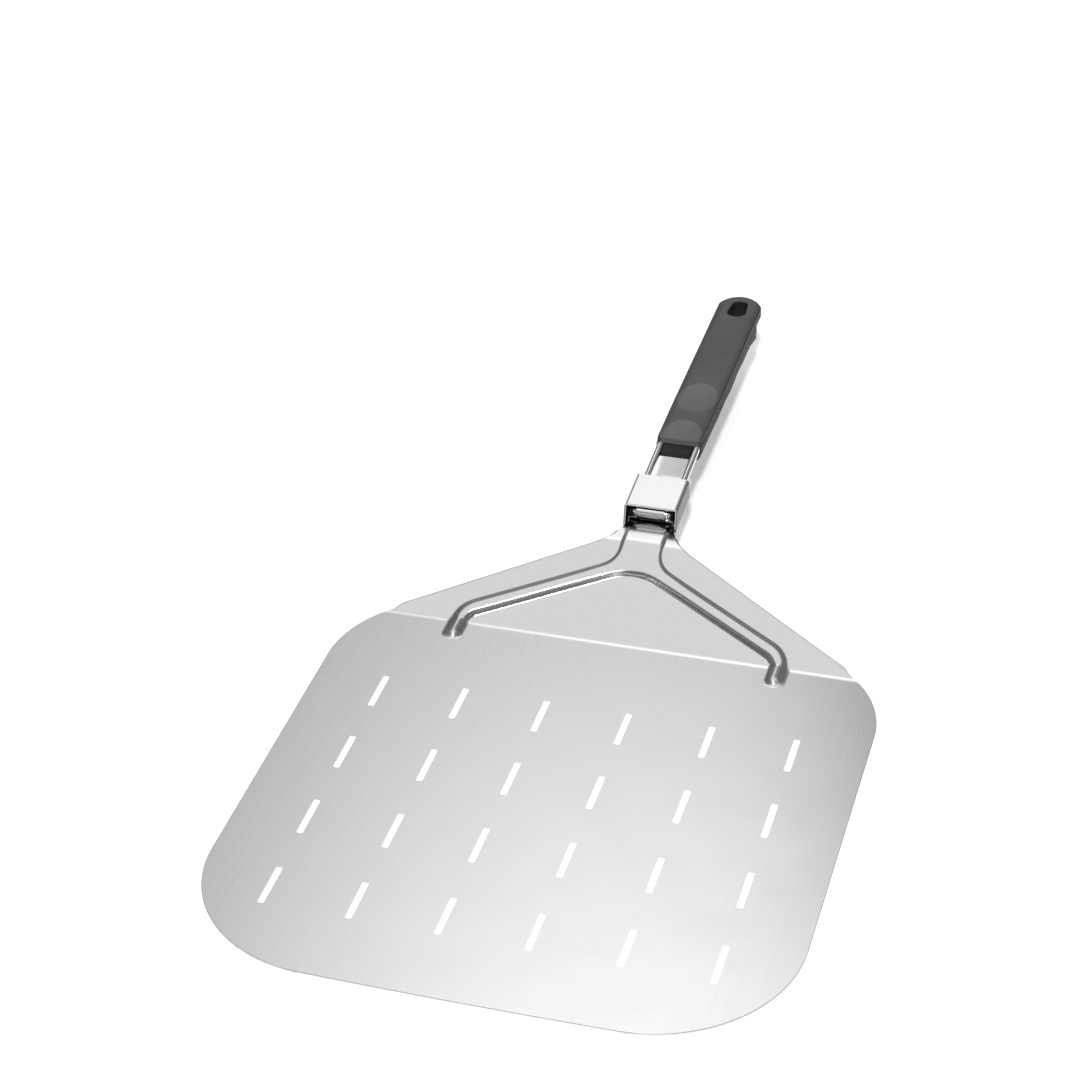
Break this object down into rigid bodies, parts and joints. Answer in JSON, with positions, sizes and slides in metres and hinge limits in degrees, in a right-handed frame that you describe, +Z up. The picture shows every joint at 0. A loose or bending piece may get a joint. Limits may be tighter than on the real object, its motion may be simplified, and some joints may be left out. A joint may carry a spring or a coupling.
{
  "type": "folding pizza peel",
  "caption": "Folding pizza peel: slotted square steel blade with rounded corners, raised neck, hinged wire frame, sliding lock sleeve and plastic grip.",
  "frame": {"origin": "on the surface that the blade lies on, under the middle of the peel's overall length and width", "axes": "+Y from the blade's front edge to the hanging hole, +Z up, +X to the right seen from behind the grip"},
  "size_m": [0.32, 0.6334, 0.055],
  "materials": {
    "brushed_steel": "stainless sheet, brushed along its length",
    "satin_steel": "satin stainless steel",
    "bright_steel": "polished steel rod",
    "spring_steel": "plain spring steel",
    "grey_plastic": "fine matt texture",
    "dark_plastic": "fine matt texture",
    "zinc_steel": "zinc-plated screws"
  },
  "bodies": {
    "blade_body": {"blade": "brushed_steel", "hinge_bracket": "satin_steel"},
    "grip_body": {"wire_frame": "bright_steel", "handle_upper_shell": "grey_plastic", "handle_lower_shell": "dark_plastic", "handle_screw_front": "zinc_steel", "handle_screw_rear": "zinc_steel"},
    "sleeve_body": {"locking_sleeve": "satin_steel", "sleeve_spring": "spring_steel"}
  },
  "joints": [
    {"name": "handle_fold", "type": "hinge", "parent": "blade_body", "child": "grip_body", "pos_m": [0, 0.07225, 0.0397], "axis": [1, 0, 0], "range_deg": [0, 175]},
    {"name": "sleeve_slide", "type": "slide", "parent": "grip_body", "child": "sleeve_body", "axis": [0, 0.9962, 0.0872], "range_m": [0, 0.0285]}
  ],
  "couplings": [
    {"joint": "sleeve_slide", "follows": "handle_fold", "m_per_rad": 0.0093}
  ]
}
